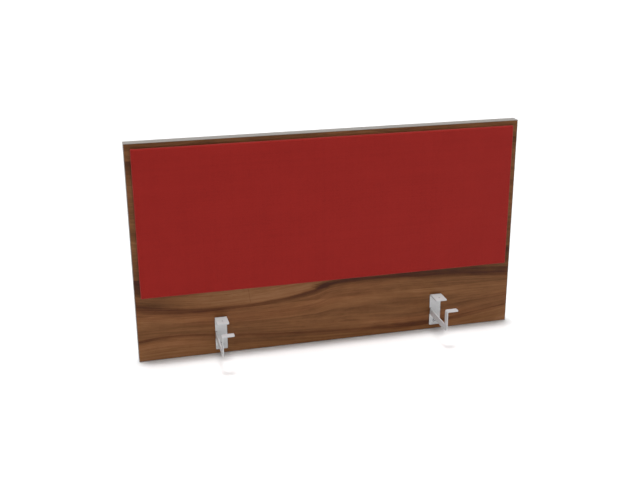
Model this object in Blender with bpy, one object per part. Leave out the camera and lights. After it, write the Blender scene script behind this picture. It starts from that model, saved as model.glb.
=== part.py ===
"""Desk privacy panel: a walnut-faced board with grey edge bands, a fabric-covered pad on its
front, and two folded steel brackets that screw up under a desk top.

Metres, +Z up. X runs along the panel and the pad is on the -Y side. The origin is the middle of
the board's bottom edge, halfway through its thickness."""

import math

import bmesh
import bpy
from mathutils import Matrix, Vector

# Clear space between touching pieces.
GAP = 0.0003

# Board
PANEL_WIDTH = 1.000
PANEL_HEIGHT = 0.562
PANEL_THICKNESS = 0.028
LAMINATE_THICKNESS = 0.0008
BAND_THICKNESS = 0.001
BAND_RADIUS = 0.0005
FRONT_FACE = -PANEL_THICKNESS / 2

# Pad, from the board outwards: hem (with tape inside its opening), backing, foam, fabric
PAD_SIDE_INSET = 0.015
PAD_TOP_INSET = 0.013
PAD_BOTTOM = 0.173
FABRIC_THICKNESS = 0.0008
BACKING_THICKNESS = 0.003
FOAM_THICKNESS = 0.004
PAD_EDGE_RADIUS = 0.0035
PAD_CORNER_RADIUS = 0.003
HEM_WIDTH = 0.025
TAPE_WIDTH = 0.020
TAPE_LENGTH = 0.280
TAPE_COUNT = 6

# Brackets, each folded from one sheet. Depths are measured forwards from the plate's back.
BRACKET_X = 0.290
SHEET = 0.003
BEND_RADIUS = 0.005
BEND_STEPS = 6
DEBURR = 0.0004
BRACKET_WIDTH = 0.030
PLATE_BOTTOM = 0.013
DESK_UNDERSIDE = 0.102
FLANGE_DEPTH = 0.048
ARM_BOTTOM = 0.045
ARM_TOP = 0.061
ARM_DEPTH = 0.124
LEG_WIDTH = 0.015
HEEL_RADIUS = 0.0145
ELBOW_RADIUS = 0.003
TAB_LENGTH = 0.031
CORNER_RADIUS = 0.003
PLATE_CORNER_RADIUS = 0.002
RELIEF_SLOT = 0.002
DESK_HOLE_RADIUS = 0.00275
DESK_HOLE_DEPTH = 0.029

# M6 button-head screws in threaded inserts
SCREW_HEIGHTS = {"lower": 0.026, "upper": 0.090}
SCREW_RADIUS = 0.003
SCREW_LENGTH = 0.016
SCREW_HOLE_RADIUS = 0.0035
HEAD_RADIUS = 0.00525
HEAD_HEIGHT = 0.0033
HEAD_RIM = 0.0006
SOCKET_RADIUS = 0.0023
SOCKET_DEPTH = 0.002
INSERT_RADIUS = 0.005
INSERT_ROOT = 0.0043
INSERT_LENGTH = 0.015
INSERT_BARBS = 4
ROUND_SIDES = 24


def clear_scene():
    for old in list(bpy.data.objects):
        bpy.data.objects.remove(old, do_unlink=True)


def make_material(name, colour, roughness, metallic=0.0):
    made = bpy.data.materials.new(name)
    made.use_nodes = True
    shader = made.node_tree.nodes["Principled BSDF"]
    shader.inputs["Base Color"].default_value = (*colour, 1.0)
    shader.inputs["Roughness"].default_value = roughness
    shader.inputs["Metallic"].default_value = metallic
    return made


def mesh_of(name, bm):
    mesh = bpy.data.meshes.new(name)
    bmesh.ops.recalc_face_normals(bm, faces=bm.faces)
    bm.to_mesh(mesh)
    bm.free()
    return mesh


def place(name, mesh, parent, material=None, location=(0, 0, 0)):
    """An object of this mesh, at a location in its parent's frame."""
    made = bpy.data.objects.new(name, mesh)
    made.parent = parent
    made.location = location
    if material and not mesh.materials:
        mesh.materials.append(material)
    bpy.context.scene.collection.objects.link(made)
    return made


def group(name, location=(0, 0, 0)):
    """An empty that holds the pieces of one sub-assembly."""
    return place(name, None, None, location=location)


def block(low, high):
    """A box between two corners."""
    low, high = Vector(low), Vector(high)
    bm = bmesh.new()
    bmesh.ops.create_cube(bm, size=1.0)
    bmesh.ops.scale(bm, vec=high - low, verts=bm.verts)
    bmesh.ops.translate(bm, vec=(low + high) / 2, verts=bm.verts)
    return bm


def round_edges(bm, wanted, radius, steps):
    """Rounds the edges that wanted(edge's middle, edge's direction) picks."""
    picked = []
    for edge in bm.edges:
        start, end = (v.co for v in edge.verts)
        if wanted((start + end) / 2, (end - start).normalized()):
            picked.append(edge)
    bmesh.ops.bevel(
        bm, geom=picked, offset=radius, offset_type="OFFSET", segments=steps, profile=0.5, affect="EDGES"
    )
    return bm


def drill(target, name, cutter_mesh, location=(0, 0, 0)):
    """Cuts a helper shape out of the target."""
    cutter = place(name, cutter_mesh, target.parent, location=location)
    cutter.hide_render = True
    cutter.display_type = "WIRE"
    cut = target.modifiers.new(name, "BOOLEAN")
    cut.operation = "DIFFERENCE"
    cut.solver = "EXACT"
    cut.object = cutter


def turned(name, profile, closed=False, sides=ROUND_SIDES):
    """A round piece about the Y axis from (radius, y) points. A closed profile makes a ring."""
    bm = bmesh.new()
    rings = []
    for radius, along in profile:
        if radius == 0:
            rings.append([bm.verts.new((0, along, 0))] * sides)
            continue
        turns = (2 * math.pi * k / sides for k in range(sides))
        rings.append([bm.verts.new((radius * math.cos(a), along, radius * math.sin(a))) for a in turns])
    pairs = list(zip(rings, rings[1:] + rings[:1]))
    for first, second in pairs if closed else pairs[:-1]:
        for k in range(sides):
            corners = [first[k], first[(k + 1) % sides], second[(k + 1) % sides], second[k]]
            bm.faces.new(dict.fromkeys(corners))
    mesh = mesh_of(name, bm)
    mesh.shade_smooth()
    mesh.set_sharp_from_angle(angle=math.radians(35))
    return mesh


def rod(name, radius, low, high, sides=ROUND_SIDES):
    return turned(name, [(0, low), (radius, low), (radius, high), (0, high)], sides=sides)


def make_board(material_of):
    """Chipboard core, a laminate on each face and an edge band on each side."""
    board = group("board")
    half_width = PANEL_WIDTH / 2
    core_x = half_width - BAND_THICKNESS - GAP
    core_low = BAND_THICKNESS + GAP
    core_high = PANEL_HEIGHT - core_low
    core_y = PANEL_THICKNESS / 2 - LAMINATE_THICKNESS - GAP
    core = place(
        "board_core",
        mesh_of("board_core", block((-core_x, -core_y, core_low), (core_x, core_y, core_high))),
        board,
        material_of["chipboard"],
    )
    sheets = {}
    for name, side in (("front_laminate", -1), ("back_laminate", 1)):
        outer = side * PANEL_THICKNESS / 2
        inner = outer - side * LAMINATE_THICKNESS
        low_y, high_y = sorted((outer, inner))
        sheet = block((-core_x, low_y, core_low), (core_x, high_y, core_high))
        sheets[name] = place(name, mesh_of(name, sheet), board, material_of["walnut"])
    make_edge_bands(board, material_of["edge_band"])
    return core, sheets["front_laminate"]


def make_edge_bands(board, material):
    """Full-length bands on top and bottom, and shorter ones between them at the ends."""
    x, y, z = PANEL_WIDTH / 2, PANEL_THICKNESS / 2, PANEL_HEIGHT
    short = BAND_THICKNESS + GAP
    bands = {
        "bottom_edge_band": ((-x, -y, 0), (x, y, BAND_THICKNESS), Vector((0, 0, -1))),
        "top_edge_band": ((-x, -y, z - BAND_THICKNESS), (x, y, z), Vector((0, 0, 1))),
        "left_edge_band": ((-x, -y, short), (-x + BAND_THICKNESS, y, z - short), Vector((-1, 0, 0))),
        "right_edge_band": ((x - BAND_THICKNESS, -y, short), (x, y, z - short), Vector((1, 0, 0))),
    }
    for name, (low, high, outward) in bands.items():
        centre = (Vector(low) + Vector(high)) / 2

        def on_outer_arris(middle, direction):
            long_way = abs(direction.dot(outward)) < 0.5 and abs(direction.y) < 0.5
            return long_way and (middle - centre).dot(outward) > 0

        bm = round_edges(block(low, high), on_outer_arris, BAND_RADIUS, 3)
        place(name, mesh_of(name, bm), board, material)


def make_pad(material_of):
    """Fabric drawn over foam and a backing board, held to the laminate by tape strips."""
    pad = group("pad", (0, FRONT_FACE, 0))
    half_width = PANEL_WIDTH / 2 - PAD_SIDE_INSET
    top = PANEL_HEIGHT - PAD_TOP_INSET
    hem_back = -GAP
    hem_front = hem_back - FABRIC_THICKNESS
    backing_back = hem_front - GAP
    foam_back = backing_back - BACKING_THICKNESS - GAP
    cover_inside = foam_back - FOAM_THICKNESS - GAP
    cover_front = cover_inside - FABRIC_THICKNESS

    def slab(inset, front, back, edge_radius):
        """A box of the pad's outline, drawn in by inset, with its front edges rounded."""
        low = (-half_width + inset, front, PAD_BOTTOM + inset)
        high = (half_width - inset, back, top - inset)
        corner_radius = max(PAD_CORNER_RADIUS - inset, GAP)

        def at_a_corner(middle, direction):
            return abs(direction.y) > 0.9

        bm = round_edges(block(low, high), at_a_corner, corner_radius, 3)
        if edge_radius:
            round_edges(bm, lambda middle, direction: abs(middle.y - front) < 1e-6, edge_radius, 4)
        return bm

    cover = place(
        "pad_cover",
        mesh_of("pad_cover", slab(0, cover_front, hem_back, PAD_EDGE_RADIUS)),
        pad,
        material_of["fabric"],
    )
    cavity = slab(FABRIC_THICKNESS, cover_inside, hem_front, PAD_EDGE_RADIUS - FABRIC_THICKNESS)
    drill(cover, "cut_pad_cavity", mesh_of("cut_pad_cavity", cavity))
    opening = slab(HEM_WIDTH, hem_front - GAP, FABRIC_THICKNESS, 0)
    drill(cover, "cut_hem_opening", mesh_of("cut_hem_opening", opening))

    filling_inset = FABRIC_THICKNESS + GAP
    foam_radius = PAD_EDGE_RADIUS - filling_inset
    foam = slab(filling_inset, foam_back - FOAM_THICKNESS, foam_back, foam_radius)
    place("pad_foam", mesh_of("pad_foam", foam), pad, material_of["foam"])
    backing = slab(filling_inset, backing_back - BACKING_THICKNESS, backing_back, 0)
    place("pad_backing", mesh_of("pad_backing", backing), pad, material_of["hardboard"])

    middle = (PAD_BOTTOM + top) / 2
    pitch = 2 * (half_width - HEM_WIDTH) / TAPE_COUNT
    low = (-TAPE_WIDTH / 2, hem_front, middle - TAPE_LENGTH / 2)
    high = (TAPE_WIDTH / 2, hem_back, middle + TAPE_LENGTH / 2)
    tape = mesh_of("pad_tape", block(low, high))
    for k in range(TAPE_COUNT):
        x = (k - (TAPE_COUNT - 1) / 2) * pitch
        place(f"pad_tape_{k + 1}", tape, pad, material_of["tape"], (x, 0, 0))


def arc(radius, start, end, steps):
    """Points on a circle about the origin, from one angle to another in degrees."""
    turns = (math.radians(start + (end - start) * k / steps) for k in range(steps + 1))
    return [Vector((radius * math.cos(a), radius * math.sin(a))) for a in turns]


def facing_out(panel):
    """The panel's points, in the order that turns its face outwards."""
    points = [Vector(point) for point, _ in panel]
    area = sum((a.cross(b) for a, b in zip(points, points[1:] + points[:1])), Vector())
    outward = sum((Vector(normal) for _, normal in panel), Vector())
    return panel if area.dot(outward) > 0 else panel[::-1]


def folded_sheet(panels, thickness):
    """One folded sheet. Each panel is a list of (point on the outer skin, outward normal)."""
    bm = bmesh.new()
    skins = {}

    def skin(point, normal):
        key = tuple(round(c, 7) for c in point)
        if key not in skins:
            outer, depth = Vector(point), thickness * Vector(normal)
            skins[key] = (bm.verts.new(outer), bm.verts.new(outer - depth))
        return skins[key]

    rims = {}
    for panel in panels:
        pairs = [skin(point, normal) for point, normal in facing_out(panel)]
        bm.faces.new([outer for outer, _ in pairs])
        bm.faces.new([inner for _, inner in reversed(pairs)])
        for a, b in zip(pairs, pairs[1:] + pairs[:1]):
            if rims.pop((b[0], a[0]), None) is None:
                rims[(a[0], b[0])] = (a, b)
    for a, b in rims.values():
        bm.faces.new((a[0], a[1], b[1], b[0]))
    return bm


def bracket_mesh():
    """Plate against the board, flange under the desk, and an arm, leg and tab in front of it."""
    left, right = -BRACKET_WIDTH / 2, BRACKET_WIDTH / 2
    fold = DESK_UNDERSIDE - BEND_RADIUS
    inner_x = left + BEND_RADIUS
    leg_back = LEG_WIDTH - ARM_DEPTH
    tab_end = left + TAB_LENGTH
    backward, upward, leftward = Vector((0, 1, 0)), Vector((0, 0, 1)), Vector((-1, 0, 0))
    low_slot, high_slot = ARM_BOTTOM - RELIEF_SLOT, ARM_TOP + RELIEF_SLOT

    def corner(x, y, radius, start, steps=4):
        return [Vector((x, y)) + p for p in arc(radius, start, start + 90, steps)]

    # The plate, seen in X and Z, with a relief slot above and below the arm's bend.
    r = PLATE_CORNER_RADIUS
    plate = corner(left + r, PLATE_BOTTOM + r, r, 180)
    plate += corner(right - r, PLATE_BOTTOM + r, r, 270)
    plate += [Vector((right, fold)), Vector((left, fold)), Vector((left, high_slot))]
    plate += [Vector((inner_x, z)) for z in (high_slot, ARM_TOP, ARM_BOTTOM, low_slot)]
    plate += [Vector((left, low_slot))]
    panels = [[((p.x, 0, p.y), backward) for p in plate]]

    # The flange's bend and the flange.
    bend = arc(1, 0, 90, BEND_STEPS)
    for a, b in zip(bend, bend[1:]):
        quad = []
        for turn, x in ((a, right), (b, right), (b, left), (a, left)):
            normal = Vector((0, turn.x, turn.y))
            quad.append((Vector((x, -BEND_RADIUS, fold)) + BEND_RADIUS * normal, normal))
        panels.append(quad)
    r = CORNER_RADIUS
    flange = [Vector((right, -BEND_RADIUS)), Vector((left, -BEND_RADIUS))]
    flange += corner(left + r, -FLANGE_DEPTH + r, r, 180)
    flange += corner(right - r, -FLANGE_DEPTH + r, r, 270)
    panels.append([((p.x, p.y, DESK_UNDERSIDE), upward) for p in flange])

    # The arm's bend, then the arm and the leg as one flat outline in Y and Z.
    for a, b in zip(bend, bend[1:]):
        quad = []
        for turn, z in ((a, ARM_BOTTOM), (a, ARM_TOP), (b, ARM_TOP), (b, ARM_BOTTOM)):
            normal = Vector((-turn.y, turn.x, 0))
            quad.append((Vector((inner_x, -BEND_RADIUS, z)) + BEND_RADIUS * normal, normal))
        panels.append(quad)
    heel_y, heel_z = HEEL_RADIUS - ARM_DEPTH, ARM_BOTTOM + HEEL_RADIUS
    elbow_y, elbow_z = leg_back + ELBOW_RADIUS, ARM_TOP + ELBOW_RADIUS
    arm = [Vector((-BEND_RADIUS, ARM_TOP)), Vector((-BEND_RADIUS, ARM_BOTTOM))]
    arm += [Vector((heel_y, heel_z)) + p for p in arc(HEEL_RADIUS, 270, 180, 8)]
    arm += [Vector((-ARM_DEPTH, fold)), Vector((leg_back, fold))]
    arm += [Vector((elbow_y, elbow_z)) + p for p in arc(ELBOW_RADIUS, 180, 270, 4)]
    panels.append([((left, p.x, p.y), leftward) for p in arm])

    # The tab's bend and the tab.
    for a, b in zip(bend, bend[1:]):
        quad = []
        for turn, y in ((a, leg_back), (a, -ARM_DEPTH), (b, -ARM_DEPTH), (b, leg_back)):
            normal = Vector((-turn.x, 0, turn.y))
            quad.append((Vector((inner_x, y, fold)) + BEND_RADIUS * normal, normal))
        panels.append(quad)
    tab = [Vector((inner_x, leg_back)), Vector((inner_x, -ARM_DEPTH))]
    tab += corner(tab_end - r, -ARM_DEPTH + r, r, 270)
    tab += corner(tab_end - r, leg_back - r, r, 0)
    panels.append([((p.x, p.y, DESK_UNDERSIDE), upward) for p in tab])

    return mesh_of("bracket", folded_sheet(panels, SHEET))


def screw_mesh():
    """Button head on the -Y side of the origin and a plain shank on the other."""
    dome_height = HEAD_HEIGHT - HEAD_RIM
    crown = SOCKET_RADIUS * 1.3
    profile = [(0, -HEAD_HEIGHT)]
    for turn in (0, 25, 50, 75, 90):
        rise = math.cos(math.radians(turn))
        spread = math.sin(math.radians(turn))
        profile.append((crown + (HEAD_RADIUS - crown) * spread, -HEAD_RIM - dome_height * rise))
    chamfer = 0.0008
    profile += [(HEAD_RADIUS, 0), (SCREW_RADIUS, 0), (SCREW_RADIUS, SCREW_LENGTH - chamfer)]
    profile += [(SCREW_RADIUS - chamfer, SCREW_LENGTH), (0, SCREW_LENGTH)]
    return turned("screw", profile)


def insert_mesh():
    """A bored sleeve with rings of barbs outside, its mouth at the origin and its end at +Y."""
    bore = SCREW_RADIUS + GAP
    land = INSERT_LENGTH / (INSERT_BARBS * 2 + 1)
    profile = [(bore, 0), (INSERT_RADIUS, 0), (INSERT_RADIUS, land)]
    for k in range(INSERT_BARBS):
        start = land * (2 * k + 1)
        profile += [(INSERT_ROOT, start + 0.3 * land), (INSERT_RADIUS, start + 2 * land)]
    profile[-1] = (INSERT_ROOT, INSERT_LENGTH)
    profile += [(bore, INSERT_LENGTH)]
    return turned("insert", profile, closed=True, sides=20)


def make_fixings(core, laminate, material_of):
    """Both brackets with their screws and inserts, and the bores for them in the board."""
    bracket = bracket_mesh()
    screw = screw_mesh()
    insert = insert_mesh()
    screw_hole = rod("cut_screw_hole", SCREW_HOLE_RADIUS, -2 * SHEET, SHEET)
    socket = rod("cut_socket", SOCKET_RADIUS, -2 * HEAD_HEIGHT, SOCKET_DEPTH - HEAD_HEIGHT, sides=6)
    board_bore = rod("cut_insert_bore", INSERT_RADIUS + GAP, -SHEET, INSERT_LENGTH + 2 * GAP)
    desk_hole = rod("cut_desk_hole", DESK_HOLE_RADIUS, -SHEET, SHEET)
    desk_hole.transform(Matrix.Rotation(math.radians(90), 4, "X"))

    for side, x in (("left", -BRACKET_X), ("right", BRACKET_X)):
        fixing = group(f"{side}_fixing", (x, FRONT_FACE, 0))
        plate = place(f"{side}_bracket", bracket, fixing, material_of["steel"], (0, -GAP, 0))
        hole_y = -GAP - DESK_HOLE_DEPTH
        drill(plate, f"cut_{side}_desk_hole", desk_hole, (0, hole_y, DESK_UNDERSIDE))
        for level, z in SCREW_HEIGHTS.items():
            place_name = f"{side}_{level}"
            drill(plate, f"cut_{place_name}_hole", screw_hole, (0, -GAP, z))
            seat = -2 * GAP - SHEET
            made = place(f"{side}_screw_{level}", screw, fixing, material_of["zinc"], (0, seat, z))
            drill(made, f"cut_{place_name}_socket", socket, (0, seat, z))
            place(f"{side}_insert_{level}", insert, fixing, material_of["brass"], (0, GAP, z))
            for target in (core, laminate):
                name = f"cut_{place_name}_{target.name}"
                drill(target, name, board_bore, (x, FRONT_FACE + GAP, z))
        deburr = plate.modifiers.new("deburr", "BEVEL")
        deburr.width = DEBURR
        deburr.segments = 2
        deburr.limit_method = "ANGLE"
        deburr.angle_limit = math.radians(40)


def main():
    clear_scene()
    material_of = {
        "walnut": make_material("walnut_laminate", (0.156, 0.065, 0.030), 0.45),
        "chipboard": make_material("chipboard", (0.450, 0.330, 0.200), 0.90),
        "edge_band": make_material("grey_edge_band", (0.420, 0.400, 0.375), 0.50),
        "fabric": make_material("red_fabric", (0.270, 0.020, 0.016), 0.95),
        "foam": make_material("pad_foam", (0.620, 0.600, 0.540), 0.95),
        "hardboard": make_material("hardboard", (0.180, 0.110, 0.060), 0.80),
        "tape": make_material("mounting_tape", (0.750, 0.750, 0.730), 0.60),
        "steel": make_material("grey_powder_coat", (0.480, 0.500, 0.510), 0.45),
        "zinc": make_material("zinc_plate", (0.550, 0.550, 0.550), 0.35, 1.0),
        "brass": make_material("insert_brass", (0.700, 0.520, 0.250), 0.35, 1.0),
    }
    core, laminate = make_board(material_of)
    make_pad(material_of)
    make_fixings(core, laminate, material_of)


main()
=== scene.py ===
import math

import bpy
import numpy as np
from mathutils import Matrix, Vector, noise


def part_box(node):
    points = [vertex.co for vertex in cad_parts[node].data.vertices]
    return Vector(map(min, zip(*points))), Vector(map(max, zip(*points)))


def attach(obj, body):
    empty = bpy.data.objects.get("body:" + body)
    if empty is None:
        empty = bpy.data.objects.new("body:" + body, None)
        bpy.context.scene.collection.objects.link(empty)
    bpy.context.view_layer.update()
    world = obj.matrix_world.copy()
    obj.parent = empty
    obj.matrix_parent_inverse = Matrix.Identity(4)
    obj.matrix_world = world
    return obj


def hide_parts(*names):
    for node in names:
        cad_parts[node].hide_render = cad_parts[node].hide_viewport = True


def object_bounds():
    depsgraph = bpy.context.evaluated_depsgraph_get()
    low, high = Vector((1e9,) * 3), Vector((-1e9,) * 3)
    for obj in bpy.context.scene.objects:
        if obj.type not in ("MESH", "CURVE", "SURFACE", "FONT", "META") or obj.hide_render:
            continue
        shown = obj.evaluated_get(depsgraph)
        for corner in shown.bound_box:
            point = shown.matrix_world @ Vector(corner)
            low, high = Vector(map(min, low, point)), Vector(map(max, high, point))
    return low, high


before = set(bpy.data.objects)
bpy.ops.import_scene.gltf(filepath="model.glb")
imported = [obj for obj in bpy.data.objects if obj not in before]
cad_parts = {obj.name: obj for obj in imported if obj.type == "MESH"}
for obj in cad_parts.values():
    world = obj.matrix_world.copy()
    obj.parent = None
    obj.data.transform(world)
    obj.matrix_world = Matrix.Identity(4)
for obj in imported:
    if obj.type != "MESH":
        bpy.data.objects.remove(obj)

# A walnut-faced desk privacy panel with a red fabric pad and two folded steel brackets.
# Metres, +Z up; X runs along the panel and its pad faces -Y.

CAD_LOW, CAD_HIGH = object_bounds()
MM = 0.001


# ---------------------------------------------------------------- camera, floor and light

CAMERA_AT = Vector((-0.578, -2.165, 1.053))
# Degrees: turned right of +Y, tipped below level, and rolled anticlockwise.
CAMERA_HEADING = 14.34
CAMERA_DIP = 19.13
CAMERA_ROLL = 0.34
LENS_MM = 52.03
SENSOR_MM = 36.0
FLOOR_HALF = 45.0


def make_camera():
    data = bpy.data.cameras.new("view_camera")
    data.lens = LENS_MM
    data.sensor_width = SENSOR_MM
    data.clip_start = 0.05
    data.clip_end = 200.0
    camera = bpy.data.objects.new("view_camera", data)
    bpy.context.scene.collection.objects.link(camera)
    heading = Matrix.Rotation(math.radians(-CAMERA_HEADING), 4, "Z")
    dip = Matrix.Rotation(math.radians(90 - CAMERA_DIP), 4, "X")
    roll = Matrix.Rotation(math.radians(-CAMERA_ROLL), 4, "Z")
    camera.matrix_world = Matrix.Translation(CAMERA_AT) @ heading @ dip @ roll
    bpy.context.scene.camera = camera


def make_floor():
    """A pale square under the panel, far wider than any view of it."""
    half = FLOOR_HALF
    corners = [(-half, -half), (half, -half), (half, half), (-half, half)]
    mesh = bpy.data.meshes.new("studio_floor")
    mesh.from_pydata([(x, y, CAD_LOW.z) for x, y in corners], [], [(0, 1, 2, 3)])
    floor = bpy.data.objects.new("studio_floor", mesh)
    bpy.context.scene.collection.objects.link(floor)
    pale = bpy.data.materials.new("pale_floor")
    pale.use_nodes = True
    shader = pale.node_tree.nodes["Principled BSDF"]
    shader.inputs["Base Color"].default_value = (0.93, 0.93, 0.93, 1)
    shader.inputs["Roughness"].default_value = 1.0
    shader.inputs["Specular IOR Level"].default_value = 0.0
    mesh.materials.append(pale)
    return floor


def group(name, members):
    made = bpy.data.collections.new(name)
    for member in members:
        made.objects.link(member)
    return made


def make_light(floor, board_and_pad, whole_object):
    """Two lamps for the floor, two for the object, and a studio that is brightest at the horizon."""
    def lamp(name, towards, strength, spread, lights=None, shaded_by=None):
        data = bpy.data.lights.new(name, "SUN")
        data.energy = strength
        data.angle = math.radians(spread)
        made = bpy.data.objects.new(name, data)
        made.matrix_world = Vector(towards).to_track_quat("-Z", "Y").to_matrix().to_4x4()
        bpy.context.scene.collection.objects.link(made)
        if lights:
            made.light_linking.receiver_collection = group(name + "_lights", lights)
        if shaded_by:
            made.light_linking.blocker_collection = group(name + "_shaded_by", shaded_by)

    lamp("floor_lamp", (0.010, -0.032, -1.0), 1.60, 4, lights=[floor], shaded_by=board_and_pad)
    lamp("top_lamp", (0.030, 0.10, -1.0), 2.7, 20, lights=whole_object)
    lamp("front_lamp", (0.25, 0.75, -0.66), 0.50, 60, lights=whole_object)
    lamp("soft_lamp", (0.0, -0.032, -1.0), 1.45, 14, lights=[floor])
    world = bpy.data.worlds.new("pale_studio")
    bpy.context.scene.world = world
    world.use_nodes = True
    tree = world.node_tree
    background = tree.nodes["Background"]
    coordinates = tree.nodes.new("ShaderNodeTexCoord")
    split = tree.nodes.new("ShaderNodeSeparateXYZ")
    ramp = tree.nodes.new("ShaderNodeValToRGB")
    tree.links.new(coordinates.outputs["Generated"], split.inputs[0])
    tree.links.new(split.outputs["Z"], ramp.inputs[0])
    tree.links.new(ramp.outputs["Color"], background.inputs["Color"])
    stops = ramp.color_ramp
    stops.elements[0].position = 0.0
    stops.elements[0].color = (1.0, 1.0, 1.0, 1)
    stops.elements[1].position = 1.0
    stops.elements[1].color = (0.22, 0.225, 0.23, 1)
    for position, grey in ((0.30, 1.0), (0.40, 0.18)):
        stops.elements.new(position).color = (grey, grey, grey, 1)
    background.inputs["Strength"].default_value = 1.0


make_camera()
studio_floor = make_floor()
bpy.context.scene.view_settings.view_transform = "Standard"
bpy.context.scene.view_settings.look = "None"


# ---------------------------------------------------------------- material graphs

# Light that reaches an upright face, as a share of what makes white: finishes are given as they
# look there, and this turns a look into the surface's own colour.
UPRIGHT_LIGHT = 1.08


def linear(channel):
    channel /= 255.0
    return channel / 12.92 if channel <= 0.04045 else ((channel + 0.055) / 1.055) ** 2.4


def looks(red, green, blue, light=UPRIGHT_LIGHT, haze=0.0):
    return tuple(max(0.002, (linear(c) - haze) / light) for c in (red, green, blue)) + (1.0,)


class Graph:
    """A material with one Principled shader, and short ways to add the nodes that feed it."""

    def __init__(self, name, metallic=0.0, specular=0.5, roughness=0.5):
        self.material = bpy.data.materials.new(name)
        self.material.use_nodes = True
        self.tree = self.material.node_tree
        self.shader = self.tree.nodes["Principled BSDF"]
        self.shader.inputs["Metallic"].default_value = metallic
        self.shader.inputs["Specular IOR Level"].default_value = specular
        self.shader.inputs["Roughness"].default_value = roughness
        self.place = self.node("ShaderNodeTexCoord").outputs["Object"]

    def node(self, kind, **settings):
        made = self.tree.nodes.new(kind)
        for key, value in settings.items():
            setattr(made, key, value)
        return made

    def feed(self, socket, value):
        if isinstance(value, bpy.types.NodeSocket):
            self.tree.links.new(value, socket)
        elif isinstance(value, (int, float)) and socket.type in ("VECTOR", "RGBA"):
            socket.default_value = (value,) * len(socket.default_value)
        else:
            socket.default_value = value

    def math(self, operation, *values, clamp=False):
        made = self.node("ShaderNodeMath", operation=operation, use_clamp=clamp)
        for socket, value in zip(made.inputs, values):
            self.feed(socket, value)
        return made.outputs[0]

    def add(self, *values):
        total = values[0]
        for value in values[1:]:
            total = self.math("ADD", total, value)
        return total

    def times(self, *values):
        total = values[0]
        for value in values[1:]:
            total = self.math("MULTIPLY", total, value)
        return total

    def minus(self, a, b):
        return self.math("SUBTRACT", a, b)

    def split(self, vector=None):
        made = self.node("ShaderNodeSeparateXYZ")
        self.feed(made.inputs[0], vector or self.place)
        return made.outputs

    def join(self, x=0.0, y=0.0, z=0.0):
        made = self.node("ShaderNodeCombineXYZ")
        for socket, value in zip(made.inputs, (x, y, z)):
            self.feed(socket, value)
        return made.outputs[0]

    def step(self, value, low, high, smooth=True, to=(0.0, 1.0)):
        """0 below low and 1 above high, rising smoothly between."""
        made = self.node("ShaderNodeMapRange")
        made.interpolation_type = "SMOOTHSTEP" if smooth else "LINEAR"
        for key, item in zip(("Value", "From Min", "From Max", "To Min", "To Max"), (value, low, high, *to)):
            self.feed(made.inputs[key], item)
        return made.outputs[0]

    def noise(self, vector, scale, detail=2.0, rough=0.5, distortion=0.0):
        made = self.node("ShaderNodeTexNoise")
        self.feed(made.inputs["Vector"], vector)
        made.inputs["Scale"].default_value = scale
        made.inputs["Detail"].default_value = detail
        made.inputs["Roughness"].default_value = rough
        made.inputs["Distortion"].default_value = distortion
        return made.outputs["Fac"]

    def cells(self, vector, scale, feature="F1", output="Distance"):
        made = self.node("ShaderNodeTexVoronoi", feature=feature)
        self.feed(made.inputs["Vector"], vector)
        made.inputs["Scale"].default_value = scale
        return made.outputs[output]

    def ramp(self, value, stops):
        """stops are (position, grey or colour)."""
        made = self.node("ShaderNodeValToRGB")
        self.feed(made.inputs[0], value)
        ramp = made.color_ramp
        for index, (position, colour) in enumerate(stops):
            if isinstance(colour, (int, float)):
                colour = (colour, colour, colour, 1.0)
            if index < 2:
                ramp.elements[index].position = position
                ramp.elements[index].color = colour
            else:
                ramp.elements.new(position).color = colour
        return made.outputs["Color"]

    def curve(self, value, points):
        made = self.node("ShaderNodeFloatCurve")
        self.feed(made.inputs["Value"], value)
        line = made.mapping.curves[0]
        for index, (x, y) in enumerate(points):
            if index < 2:
                line.points[index].location = (x, y)
            else:
                line.points.new(x, y)
        made.mapping.update()
        return made.outputs[0]

    def mix(self, share, a, b, blend="MIX"):
        made = self.node("ShaderNodeMix", data_type="RGBA", blend_type=blend)
        self.feed(made.inputs[0], share)
        self.feed(made.inputs[6], a)
        self.feed(made.inputs[7], b)
        return made.outputs[2]

    def bump(self, height, distance, strength=1.0):
        made = self.node("ShaderNodeBump")
        made.inputs["Distance"].default_value = distance
        made.inputs["Strength"].default_value = strength
        self.feed(made.inputs["Height"], height)
        self.tree.links.new(made.outputs[0], self.shader.inputs["Normal"])

    def colour(self, value):
        self.feed(self.shader.inputs["Base Color"], value)

    def roughness(self, value):
        self.feed(self.shader.inputs["Roughness"], value)

    def edges(self, low=0.52, high=0.62):
        """1 on worn outer corners, 0 on flats."""
        return self.step(self.node("ShaderNodeNewGeometry").outputs["Pointiness"], low, high)


# The laminate's pattern is five walnut planks, lying along the board. Each is
# (bottom, top, tone, the height where its tone starts to change, tone at the top):
# heights in metres, to the nearest 5 mm, and tone from 0, dark, to 1, light.
PLANKS = [
    (0.000, 0.120, 0.60, 0.080, 0.75),
    (0.120, 0.220, 0.60, 0.170, 0.10),
    (0.220, 0.430, 0.50, 0.270, 0.60),
    (0.430, 0.520, 0.60, 0.475, 0.25),
    (0.520, 0.600, 0.55, 0.535, 0.45),
]
BOARD_LENGTH = CAD_HIGH.x - CAD_LOW.x
# A streak's curve runs from 0 to 1, which stands for this height in metres.
CURVE_HEIGHT = 0.2
# Two heartwood streaks run the whole length, as (place along the board in metres, height).
STREAK_HIGH = [
    (-0.50, 0.145),
    (-0.35, 0.125),
    (-0.20, 0.125),
    (-0.05, 0.145),
    (0.02, 0.165),
    (0.30, 0.160),
    (0.50, 0.145),
]
STREAK_LOW = [
    (-0.50, 0.055),
    (-0.40, 0.060),
    (-0.25, 0.045),
    (0.05, 0.025),
    (0.25, 0.020),
    (0.40, 0.035),
    (0.50, 0.050),
]
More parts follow.
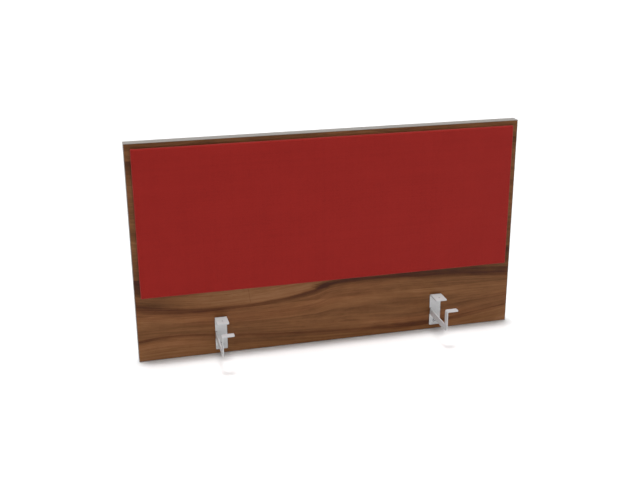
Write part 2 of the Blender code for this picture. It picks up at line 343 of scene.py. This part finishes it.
# The walnut's own tones from dark to light, as they look on an upright face.
WALNUT = [
    (0.0, (65, 40, 25)),
    (0.25, (85, 55, 35)),
    (0.5, (105, 70, 45)),
    (0.75, (125, 85, 55)),
    (1.0, (140, 100, 70)),
]


def walnut(name, turned=False):
    """Walnut-pattern laminate: planks, two heartwood streaks, flowing grain, fine figure and open pores."""
    graph = Graph(name, specular=0.15, roughness=0.45)
    across, _, height = graph.split()
    if turned:
        across = graph.minus(0.07, across)
    share = graph.add(graph.times(across, 1.0 / BOARD_LENGTH), 0.5)

    def path(points):
        """A streak's height, smooth through its points."""
        bent = graph.curve(share, [(x / BOARD_LENGTH + 0.5, z / CURVE_HEIGHT) for x, z in points])
        return graph.times(bent, CURVE_HEIGHT)

    def ripple(along, up, seed, detail=3.0, rough=0.55):
        """Noise stretched along the grain, from -0.5 to 0.5."""
        place = graph.join(graph.times(across, along), graph.times(up[0], up[1]), seed)
        return graph.minus(graph.noise(place, 1.0, detail, rough), 0.5)

    # Lines wander slowly, most of all high on the board, and shiver a little everywhere.
    high_up = graph.step(height, 0.17, 0.24)
    level = graph.add(height, graph.times(ripple(3.5, (height, 2.2), 3.0, 2.0), high_up, 0.09),
                      graph.times(ripple(9.0, (height, 34.0), 1.0), 0.004))
    upper, lower = path(STREAK_HIGH), path(STREAK_LOW)

    # Grain follows the two streaks low down and straightens out above them.
    follow = graph.step(level, 0.03, 0.15)
    bend = graph.add(graph.times(graph.minus(lower, 0.042), graph.minus(1.0, follow)),
                     graph.times(graph.minus(upper, 0.145), follow))
    flow = graph.minus(level, graph.times(bend, graph.step(level, 0.17, 0.25, to=(0.85, 0.0))))

    # Each plank has its own tone and its own run of figure, and they meet in crisp lines.
    tone, plank = 0.0, 0.0
    for number, (bottom, top, low_tone, turning, high_tone) in enumerate(PLANKS):
        inside = graph.math("LESS_THAN", height, top)
        if number:
            inside = graph.times(graph.math("GREATER_THAN", height, bottom), inside)
        drifting = graph.add(level, graph.times(ripple(4.0, (height, 9.0), 21.0, 2.0), 0.045))
        shade = graph.step(drifting, turning, min(top, turning + 0.035), to=(low_tone, high_tone))
        tone = graph.add(tone, graph.times(inside, shade))
        plank = graph.add(plank, graph.times(inside, 3.7 * number))

    def streak(offset, depth, width, shadow):
        """A dark line with a ragged, crisp core, and a soft shadow under it."""
        ragged = graph.add(width, graph.times(ripple(26.0, (flow, 300.0), 6.0), width, 1.1))
        far = graph.math("DIVIDE", graph.math("ABSOLUTE", offset), ragged)
        core = graph.step(far, 0.2, 1.0, to=(1.0, 0.0))
        shade = graph.times(graph.step(offset, -0.026, 0.0), graph.step(offset, 0.0, 0.004, to=(1.0, 0.0)))
        return graph.add(graph.times(core, depth), graph.times(shade, shadow))

    # The high streak is strongest right of the middle, and both ends of it are broad.
    over = graph.minus(level, upper)
    from_middle = graph.math("ABSOLUTE", across)
    right_half = graph.step(across, -0.12, 0.02)
    at_ends = graph.step(from_middle, 0.34, 0.50)
    high_depth = graph.add(0.20, graph.times(right_half, 0.05))
    high_width = graph.add(0.0085, graph.times(right_half, 0.0045), graph.times(at_ends, 0.0055))
    # The low streak swells where it comes nearest the bottom edge.
    swell = graph.step(graph.math("ABSOLUTE", graph.minus(across, 0.22)), 0.0, 0.16, to=(1.0, 0.0))
    low_depth = graph.add(0.20, graph.times(swell, 0.14))
    low_width = graph.add(0.0055, graph.times(swell, 0.0055))
    patchy = graph.step(ripple(5.0, (flow, 60.0), 7.0), -0.25, 0.12, to=(0.60, 1.12))
    dark = graph.add(streak(over, high_depth, high_width, 0.12),
                     streak(graph.minus(level, lower), low_depth, low_width, 0.06))
    # Towards the left end the high streak blurs into a broad band.
    blur = graph.times(graph.step(graph.math("ABSOLUTE", over), 0.003, 0.017, to=(0.13, 0.0)),
                       graph.step(across, -0.36, -0.16, to=(1.0, 0.0)))
    dark = graph.add(dark, blur)
    tone = graph.minus(tone, graph.times(dark, patchy, 1.12))

    # Sapwood above the high streak is pale left of the middle and dark to its right.
    above = graph.times(graph.step(over, 0.0, 0.007), graph.step(height, 0.180, 0.200, to=(1.0, 0.0)))
    pale = graph.step(graph.math("ABSOLUTE", graph.add(across, 0.20)), 0.12, 0.27, to=(0.20, -0.20))
    tone = graph.add(tone, graph.times(pale, above))
    # A small ragged knot sits where the high streak turns up.
    knot_x, knot_z = 0.028, 0.010
    from_knot = graph.math("SQRT", graph.add(
        graph.math("POWER", graph.times(graph.add(across, 0.025), 1.0 / knot_x), 2.0),
        graph.math("POWER", graph.times(graph.minus(height, 0.158), 1.0 / knot_z), 2.0)))
    ragged = graph.add(from_knot, graph.times(ripple(70.0, (height, 260.0), 31.0), 1.8))
    knot = graph.step(ragged, 0.4, 1.1, to=(0.34, 0.0))
    tone = graph.minus(tone, knot)
    # Two planks butt together left of the middle.
    seam = graph.math("ABSOLUTE", graph.add(across, 0.214, graph.times(graph.minus(height, 0.15), 0.12)))
    joint = graph.step(seam, 0.0004, 0.0016, to=(1.0, 0.0))
    seam = graph.times(joint, above, graph.step(height, 0.128, 0.136))
    tone = graph.minus(tone, graph.times(seam, 0.18))
    # Wood under the low streak is paler towards both ends.
    below = graph.step(graph.minus(lower, level), 0.0, 0.010)
    tone = graph.add(tone, graph.times(below, graph.step(from_middle, 0.15, 0.42, to=(-0.08, 0.12))))

    # Painted light: the foot of the board is lightened, against the shade that falls on it near the floor.
    tone = graph.add(tone, graph.step(height, 0.0, 0.030, to=(0.22, 0.0)))

    # Figure at four sizes, then pores.
    broad = ripple(1.7, (flow, 26.0), plank)
    cathedral = ripple(3.2, (flow, 80.0), graph.add(plank, 2.0), 4.0, 0.6)
    fine = ripple(7.0, (flow, 240.0), graph.add(plank, 4.0), 4.0, 0.65)
    fibre = ripple(40.0, (flow, 1500.0), 4.0, 2.0, 0.5)
    lustre = ripple(26.0, (flow, 60.0), 5.0, 3.0, 0.6)
    pore_place = graph.join(graph.times(across, 85.0), graph.times(flow, 2100.0), 9.0)
    pores = graph.step(graph.noise(pore_place, 1.0, 1.0), 0.62, 0.72)
    tone = graph.add(tone, graph.times(broad, 0.52), graph.times(cathedral, 0.50), graph.times(fine, 0.76),
                     graph.times(fibre, 0.24), graph.times(lustre, 0.28))
    # Thin dark annual lines, where the figure turns over.
    rings = graph.step(graph.math("ABSOLUTE", cathedral), 0.0, 0.022, to=(1.0, 0.0))
    tone = graph.minus(tone, graph.times(rings, graph.step(broad, -0.12, 0.10), 0.13))
    tone = graph.minus(tone, graph.times(pores, 0.17))

    wood = graph.ramp(tone, [(place, looks(*colour, haze=0.012)) for place, colour in WALNUT])
    # The streaks and a few bands lean red.
    red = graph.step(ripple(2.1, (flow, 22.0), 12.0, 2.0, 0.5), -0.05, 0.25, to=(0.0, 0.40))
    red = graph.math("ADD", red, graph.times(dark, 1.6), clamp=True)
    wood = graph.mix(red, wood, graph.mix(1.0, wood, (1.12, 0.92, 0.88, 1), "MULTIPLY"))
    graph.colour(wood)
    graph.roughness(graph.add(0.43, graph.times(pores, 0.22), graph.times(fine, 0.10)))
    relief = graph.add(graph.times(pores, -1.0), graph.times(fibre, 0.35), graph.times(fine, 0.3))
    graph.bump(relief, 0.00006, 0.6)
    return graph.material


def edge_band():
    """Light grey ABS edging with a faint grain and scuffed corners."""
    graph = Graph("grey_edging", specular=0.3, roughness=0.5)
    x, y, z = graph.split()
    cloud = graph.noise(graph.place, 14.0, 3.0)
    speck = graph.noise(graph.place, 900.0, 2.0)
    drawn = graph.join(graph.times(x, 30.0), graph.times(y, 600.0), graph.times(z, 30.0))
    along = graph.noise(drawn, 1.0, 3.0)
    shade = graph.add(graph.times(cloud, 0.30), graph.times(speck, 0.25), graph.times(along, 0.45))
    base = graph.ramp(shade, [(0.25, (0.200, 0.178, 0.160, 1)), (0.75, (0.258, 0.234, 0.212, 1))])
    graph.colour(graph.mix(graph.times(graph.edges(0.51, 0.58), 0.35), base, (0.36, 0.345, 0.325, 1)))
    graph.roughness(graph.step(speck, 0.3, 0.7, to=(0.42, 0.58)))
    graph.bump(graph.add(graph.times(speck, 0.6), graph.times(along, 0.5)), 0.00008, 0.7)
    return graph.material


def powder_coat():
    """Light grey powder coat: orange peel, faint mottling, and bright worn corners."""
    graph = Graph("grey_powder", specular=0.4, roughness=0.42)
    peel = graph.noise(graph.place, 850.0, 2.0, 0.45)
    grit = graph.cells(graph.place, 2600.0)
    cloud = graph.noise(graph.place, 45.0, 3.0)
    base = graph.ramp(graph.add(graph.times(cloud, 0.6), graph.times(peel, 0.4)),
                      [(0.3, (0.445, 0.453, 0.460, 1)), (0.7, (0.515, 0.518, 0.522, 1))])
    patches = graph.step(graph.noise(graph.place, 160.0, 3.0), 0.35, 0.65)
    rubbed = graph.times(graph.edges(0.53, 0.66), patches)
    graph.colour(graph.mix(graph.times(rubbed, 0.55), base, (0.72, 0.72, 0.71, 1)))
    graph.roughness(graph.add(graph.times(peel, 0.16), graph.times(rubbed, -0.08), 0.34))
    graph.bump(graph.add(peel, graph.times(grit, 0.25)), 0.00010, 0.55)
    return graph.material


def zinc():
    """Zinc plate with turning marks and a slight bloom; duller in the socket and under the head, where
    painted shade makes it dark too.
    """
    graph = Graph("zinc", metallic=1.0, roughness=0.3)
    head_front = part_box("left_screw_upper")[0].y
    recess_painted_shade = graph.step(graph.split()[1], head_front + 0.4 * MM, head_front + 0.9 * MM)
    bloom = graph.noise(graph.place, 420.0, 3.0)
    fine = graph.noise(graph.place, 4200.0, 2.0)
    plate = graph.ramp(bloom, [(0.3, (0.50, 0.52, 0.55, 1)), (0.7, (0.70, 0.71, 0.72, 1))])
    # Painted shade: faces sunk behind the head's front, in the socket and round the head, are mixed nearly
    # to black.
    graph.colour(graph.mix(graph.times(recess_painted_shade, 0.92), plate, (0.035, 0.037, 0.04, 1)))
    dullness = graph.add(graph.times(bloom, 0.20), graph.times(fine, 0.10), graph.times(recess_painted_shade, 0.3), 0.16)
    graph.roughness(dullness)
    graph.bump(fine, 0.00002, 0.5)
    return graph.material


def brass():
    graph = Graph("brass", metallic=1.0, roughness=0.3)
    tarnish = graph.noise(graph.place, 300.0, 3.0)
    graph.colour(graph.ramp(tarnish, [(0.3, (0.46, 0.30, 0.11, 1)), (0.7, (0.78, 0.56, 0.25, 1))]))
    graph.roughness(graph.step(tarnish, 0.3, 0.7, to=(0.24, 0.44)))
    graph.bump(graph.noise(graph.place, 3000.0, 2.0), 0.00003, 0.5)
    return graph.material


def chipboard():
    """Pressed wood chips, pale and brown."""
    graph = Graph("pressed_chips", specular=0.1, roughness=0.85)
    x, y, z = graph.split()
    stretched = graph.join(x, graph.times(y, 2.4), z)
    chip = graph.cells(stretched, 260.0, output="Color")
    tone = graph.node("ShaderNodeSeparateColor")
    graph.tree.links.new(chip, tone.inputs[0])
    edge = graph.cells(stretched, 260.0)
    graph.colour(graph.ramp(tone.outputs[0], [
        (0.0, (0.24, 0.14, 0.07, 1)),
        (0.4, (0.47, 0.32, 0.17, 1)),
        (1.0, (0.68, 0.52, 0.32, 1)),
    ]))
    graph.roughness(graph.step(edge, 0.0, 0.6, to=(0.75, 0.95)))
    graph.bump(graph.add(edge, graph.noise(graph.place, 1200.0, 3.0)), 0.0003, 0.8)
    return graph.material


def hardboard():
    graph = Graph("brown_fibreboard", specular=0.15, roughness=0.8)
    fibres = graph.noise(graph.place, 700.0, 4.0, 0.65, 1.5)
    cloud = graph.noise(graph.place, 30.0, 3.0)
    shade = graph.add(graph.times(fibres, 0.6), graph.times(cloud, 0.4))
    graph.colour(graph.ramp(shade, [(0.3, (0.10, 0.055, 0.028, 1)), (0.7, (0.23, 0.135, 0.07, 1))]))
    graph.roughness(graph.step(fibres, 0.3, 0.7, to=(0.68, 0.92)))
    graph.bump(fibres, 0.00012, 0.7)
    return graph.material


def foam(name, dark, light, size):
    """Open cells of foam, as rounded pits, with painted shade darkening each pit towards its floor."""
    graph = Graph(name, specular=0.05, roughness=0.95)
    pit = graph.cells(graph.place, size)
    cloud = graph.noise(graph.place, 25.0, 2.0)
    # Painted shade: the colour darkens towards the middle of each pit.
    shade = graph.add(graph.times(pit, 0.7), graph.times(cloud, 0.4))
    graph.colour(graph.ramp(shade, [(0.15, dark), (0.75, light)]))
    graph.roughness(graph.step(pit, 0.0, 0.6, to=(0.85, 1.0)))
    graph.bump(pit, 0.0004, 0.7)
    return graph.material


# How far apart the fabric's yarns lie.
YARN = 1.15 * MM


def fabric():
    """Red crepe-weave panel cloth: over-and-under yarns, each its own shade, with a soft nap."""
    graph = Graph("red_weave", specular=0.04, roughness=0.9)
    graph.shader.inputs["Sheen Weight"].default_value = 0.12
    graph.shader.inputs["Sheen Roughness"].default_value = 0.5
    graph.shader.inputs["Sheen Tint"].default_value = (1.0, 0.80, 0.74, 1)
    cloth = graph.node("ShaderNodeAttribute", attribute_name="cloth").outputs["Vector"]
    wobble = graph.minus(graph.noise(cloth, 90.0, 2.0), 0.5)
    u, v, _ = graph.split(cloth)
    a = graph.add(graph.math("DIVIDE", u, YARN), graph.times(wobble, 0.9))
    b = graph.add(graph.math("DIVIDE", v, YARN), graph.times(wobble, -0.8))
    cell_a, cell_b = graph.math("FLOOR", a), graph.math("FLOOR", b)

    def arch(value):
        return graph.math("SINE", graph.times(graph.math("FRACT", value), math.pi))

    arch_a, arch_b = arch(a), arch(b)
    dice = graph.node("ShaderNodeTexWhiteNoise", noise_dimensions="3D")
    graph.feed(dice.inputs["Vector"], graph.join(cell_a, cell_b, 5.0))
    # Crepe: mostly over one, under one, but some crossings trade places.
    parity = graph.math("MODULO", graph.math("ABSOLUTE", graph.add(cell_a, cell_b)), 2.0)
    swap = graph.math("GREATER_THAN", dice.outputs["Value"], 0.80)
    over = graph.math("ABSOLUTE", graph.minus(graph.math("ROUND", parity), swap))
    warp = graph.times(arch_a, graph.add(graph.times(arch_b, 0.45), 0.55))
    weft = graph.times(arch_b, graph.add(graph.times(arch_a, 0.45), 0.55))
    crown = graph.add(graph.times(warp, over), graph.times(weft, graph.minus(1.0, over)))

    def per_yarn(cell, seed):
        made = graph.node("ShaderNodeTexWhiteNoise", noise_dimensions="2D")
        graph.feed(made.inputs["Vector"], graph.join(cell, seed, 0.0))
        return made.outputs["Value"]

    warp_shade = graph.times(per_yarn(cell_a, 1.5), over)
    weft_shade = graph.times(per_yarn(cell_b, 8.5), graph.minus(1.0, over))
    shade = graph.add(warp_shade, weft_shade)
    slub = graph.noise(graph.join(graph.times(u, 22.0), graph.times(v, 300.0), 0.0), 1.0, 2.0)
    cloud = graph.noise(cloth, 9.0, 3.0)
    fuzz = graph.noise(cloth, 5200.0, 2.0)
    # Painted shade: the crown term darkens the cloth where each yarn dips under its neighbour; the other
    # terms are the yarns' own tones.
    tone = graph.add(
        graph.times(shade, 0.12), graph.times(dice.outputs["Value"], 0.16), graph.times(crown, 0.62),
        graph.times(slub, 0.05), graph.times(cloud, 0.16), graph.times(fuzz, 0.12), -0.06)
    graph.colour(graph.ramp(tone, [
        (0.15, looks(111, 22, 19)),
        (0.45, looks(138, 30, 26)),
        (0.62, looks(146, 34, 30)),
        (0.9, looks(159, 42, 37)),
    ]))
    graph.roughness(graph.step(crown, 0.1, 0.9, to=(0.98, 0.84)))
    graph.bump(graph.add(crown, graph.times(fuzz, 0.25), graph.times(slub, 0.2)), 0.00030, 0.85)
    return graph.material


FINISH = {
    "walnut_front": walnut("walnut_front"),
    "walnut_back": walnut("walnut_back", turned=True),
    "grey_edge_band": edge_band(),
    "grey_powder_coat": powder_coat(),
    "zinc_plate": zinc(),
    "insert_brass": brass(),
    "chipboard": chipboard(),
    "hardboard": hardboard(),
    "mounting_tape": foam("tape_foam", (0.42, 0.42, 0.40, 1), (0.72, 0.72, 0.70, 1), 1500.0),
    "pad_foam": foam("cream_foam", (0.46, 0.40, 0.27, 1), (0.80, 0.74, 0.58, 1), 1100.0),
    "red_fabric": fabric(),
}
FINISH_OF_NODE = {
    "board_core": "chipboard",
    "front_laminate": "walnut_front",
    "back_laminate": "walnut_back",
    "pad_backing": "hardboard",
}
for node_name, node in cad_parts.items():
    if "band" in node_name:
        finish = "grey_edge_band"
    elif "bracket" in node_name:
        finish = "grey_powder_coat"
    elif "screw" in node_name:
        finish = "zinc_plate"
    elif "insert" in node_name:
        finish = "insert_brass"
    elif "tape" in node_name:
        finish = "mounting_tape"
    elif node_name in ("pad_cover", "pad_foam"):
        continue
    else:
        finish = FINISH_OF_NODE[node_name]
    for material_slot in node.material_slots:
        material_slot.material = FINISH[finish]
    if not node.material_slots:
        node.data.materials.append(FINISH[finish])


# ---------------------------------------------------------------- the pad

COVER_LOW, COVER_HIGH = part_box("pad_cover")
FOAM_LOW, FOAM_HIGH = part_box("pad_foam")
CLOTH = 0.8 * MM
HEM = 25 * MM
CROWN = 0.7 * MM
PLEAT = 0.5 * MM
COVER_EDGE, COVER_BACK_EDGE = 3.5 * MM, 0.9 * MM
FOAM_EDGE, FOAM_BACK_EDGE = 2.4 * MM, 0.4 * MM
GRID_INSET = 7 * MM
CORNER = 3 * MM
# Spacing of the grid away from each corner, in millimetres, closest where the cloth turns.
NEAR_CORNER = (0, 1, 2, 3, 4, 5.2, 6.6, 8.4, 10.6, 13.5, 17.5, 23, 30)
# The rounded corner itself is drawn by the grid lines up to this far from it.
CORNER_REACH = NEAR_CORNER[3] * MM
COARSE = 8.0


def stations(half):
    """Grid lines from -half to half, close together near the ends."""
    near = [step * MM for step in NEAR_CORNER]
    count = round(2 * (half - near[-1]) / (COARSE * MM))
    middle = np.linspace(-half + near[-1], half - near[-1], count + 1)[1:-1]
    left = [-half + step for step in near]
    return np.array(left + list(middle) + [-x for x in reversed(left)])


def crown_at(x, z, half_x, half_z, amount):
    """The foam's slight swell: full over the middle, gone at the rim, and a little uneven."""
    rim = min(half_x - abs(x), half_z - abs(z)) / MM
    rise = 1 - math.exp(-max(0.0, rim) / 26.0)
    broad = (1 - (x / half_x) ** 4) * (1 - (z / half_z) ** 4)
    uneven = noise.noise(Vector((x * 9, z * 9, 2.0))) * 0.16 * MM
    pull = noise.noise(Vector((x * 55, z * 55, 6.0))) * 0.10 * MM * math.exp(-max(0.0, rim) / 16.0)
    return (0.45 * rise + 0.55 * broad) * amount + rise * uneven + pull


def padding(name, low, high, edge_radius, back_edge, hem=None, crown=CROWN, fold=0.0):
    """A rounded slab facing -Y between two corners. With a hem it is an open skin that turns in behind
    by that much; without one it is closed. fold raises a lapped pleat on the top and bottom near each
    corner."""
    half_x, half_z = (high.x - low.x) / 2, (high.z - low.z) / 2
    middle_x, middle_z = (high.x + low.x) / 2, (high.z + low.z) / 2
    inner_x, inner_z = half_x - GRID_INSET, half_z - GRID_INSET
    xs, zs = stations(inner_x), stations(inner_z)
    front_y, back_y = low.y, high.y
    depth = back_y - front_y
    points, cloth, faces = [], [], []

    def put(x, z, y, unrolled):
        points.append((middle_x + x, y, middle_z + z))
        cloth.append((unrolled[0], unrolled[1], 0.0))
        return len(points) - 1

    grid = [[put(x, z, front_y - crown_at(x, z, half_x, half_z, crown), (x, z)) for x in xs] for z in zs]
    for row in range(len(zs) - 1):
        for column in range(len(xs) - 1):
            faces.append((
                grid[row][column], grid[row][column + 1],
                grid[row + 1][column + 1], grid[row + 1][column]))

    rows, columns = len(zs), len(xs)
    rim = [(0, c) for c in range(columns)] + [(r, columns - 1) for r in range(1, rows)]
    rim += [(rows - 1, c) for c in range(columns - 2, -1, -1)] + [(r, 0) for r in range(rows - 2, 0, -1)]

    def outermost(row, column):
        """Where this rim point lands on the outline, the way out, and its distance from the corner."""
        x, z = xs[column], zs[row]
        sign_x, sign_z = math.copysign(1, x), math.copysign(1, z)
        on_side = row in (0, rows - 1)
        gap = (inner_x - abs(x)) if on_side else (inner_z - abs(z))
        reach = CORNER_REACH
        if gap <= reach + 1e-9:
            turn = math.radians(45) * (1 - gap / reach)
            if not on_side:
                turn = math.radians(90) - turn
            out = Vector((math.sin(turn) * sign_x, math.cos(turn) * sign_z))
            hub = Vector(((half_x - CORNER) * sign_x, (half_z - CORNER) * sign_z))
            return hub + out * CORNER, out, 0.0
        spread = min(1.0, (gap - reach) / (40 * MM))
        away = CORNER + gap - reach + GRID_INSET * spread * spread * (3 - 2 * spread)
        if on_side:
            return Vector(((half_x - away) * sign_x, half_z * sign_z)), Vector((0, sign_z)), away
        return Vector((half_x * sign_x, (half_z - away) * sign_z)), Vector((sign_x, 0)), away

    # Each ring is (inset from the outline, depth behind the front), from the front face round to the back.
    rings = [(5.2 * MM, 0.0), (edge_radius + 0.5 * MM, 0.0)]
    for step in range(0, 7):
        angle = math.radians(15 * step)
        rings.append((edge_radius * (1 - math.sin(angle)), edge_radius * (1 - math.cos(angle))))
    front_rings = len(rings)
    flat = depth - edge_radius - back_edge
    for share in (0.33, 0.66, 1.0):
        rings.append((0.0, edge_radius + flat * share))
    for step in range(1, 5):
        angle = math.radians(22.5 * step)
        rings.append((back_edge * (1 - math.cos(angle)), depth - back_edge * (1 - math.sin(angle))))
    end = hem if hem else GRID_INSET
    inward = [3.2, 5, 7.5, 10.5, 14, 18, 22, 25] if hem else [3.2, 5]
    rings += [(inset * MM, depth) for inset in inward]

    previous = [grid[r][c] for r, c in rim]
    last = (GRID_INSET, 0.0)
    length = 0.0
    for number, (inset, behind) in enumerate(rings):
        length += math.hypot(inset - last[0], behind - last[1])
        last = (inset, behind)
        at_back = behind > depth - 1e-9 and number >= front_rings
        ring = []
        for row, column in rim:
            start = Vector((xs[column], zs[row]))
            outer, out, away = outermost(row, column)
            if at_back or behind > depth / 2:
                scale_x, scale_z = (half_x - end) / inner_x, (half_z - end) / inner_z
                inner = Vector((start.x * scale_x, start.y * scale_z))
                spot = outer.lerp(inner, inset / end)
            else:
                spot = outer.lerp(start, inset / GRID_INSET)
            bulge = 0.0
            if not at_back and behind > 0.2 * edge_radius:
                bulge = 0.16 * MM * noise.noise(Vector((spot.x * 34, spot.y * 34, 1.0)))
                if fold and abs(out.y) > 0.5:
                    crease = 5.0 * MM + 3.0 * MM * behind / depth
                    lap = min(1.0, max(0.0, (crease - away) / (1.0 * MM)))
                    sides = min(1.0, behind / (0.6 * edge_radius))
                    bulge += fold * lap * lap * (3 - 2 * lap) * sides
            spot = spot + out * bulge
            y = front_y + behind
            if behind < edge_radius:
                share = 1 - behind / edge_radius
                y -= share * crown_at(spot.x, spot.y, half_x, half_z, crown)
            ring.append(put(spot.x, spot.y, y, start + out * length))
        for index in range(len(rim)):
            following = (index + 1) % len(rim)
            faces.append((previous[index], ring[index], ring[following], previous[following]))
        previous = ring
    if not hem:
        back = {key: index for key, index in zip(rim, previous)}
        scale_x, scale_z = (half_x - end) / inner_x, (half_z - end) / inner_z
        for row in range(rows):
            for column in range(columns):
                if (row, column) not in back:
                    x, z = xs[column], zs[row]
                    back[row, column] = put(x * scale_x, z * scale_z, back_y, (x, z))
        for row in range(rows - 1):
            for column in range(columns - 1):
                faces.append((
                    back[row, column], back[row + 1, column],
                    back[row + 1, column + 1], back[row, column + 1]))

    mesh = bpy.data.meshes.new(name)
    mesh.from_pydata(points, [], faces)
    attribute = mesh.attributes.new("cloth", "FLOAT_VECTOR", "POINT")
    attribute.data.foreach_set("vector", np.array(cloth, np.float32).ravel())
    mesh.polygons.foreach_set("use_smooth", [True] * len(mesh.polygons))
    mesh.update()
    made = bpy.data.objects.new(name, mesh)
    bpy.context.scene.collection.objects.link(made)
    return made


def thicken(piece, thickness):
    """Gives a skin its thickness on the inside, and keeps the result as the piece's own mesh."""
    shell = piece.modifiers.new("thickness", "SOLIDIFY")
    shell.thickness = thickness
    shell.offset = -1.0
    shell.use_even_offset = True
    bpy.context.view_layer.update()
    graph = bpy.context.evaluated_depsgraph_get()
    solid = bpy.data.meshes.new_from_object(piece.evaluated_get(graph))
    piece.modifiers.clear()
    old, piece.data = piece.data, solid
    solid.name = piece.name
    bpy.data.meshes.remove(old)


cover = padding("fabric_cover", COVER_LOW, COVER_HIGH, COVER_EDGE, COVER_BACK_EDGE, hem=HEM, fold=PLEAT)
thicken(cover, CLOTH)
cover.data.materials.append(FINISH["red_fabric"])
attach(cover, "root")
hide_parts("pad_cover")

foam_pad = padding("foam_pad", FOAM_LOW, FOAM_HIGH, FOAM_EDGE, FOAM_BACK_EDGE)
foam_pad.data.materials.append(FINISH["pad_foam"])
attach(foam_pad, "root")
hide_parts("pad_foam")


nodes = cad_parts
loose = ("bracket", "screw", "insert")
board_and_pad = [node for name, node in nodes.items() if not any(word in name for word in loose)]
make_light(studio_floor, board_and_pad + [cover, foam_pad], list(nodes.values()) + [cover, foam_pad])
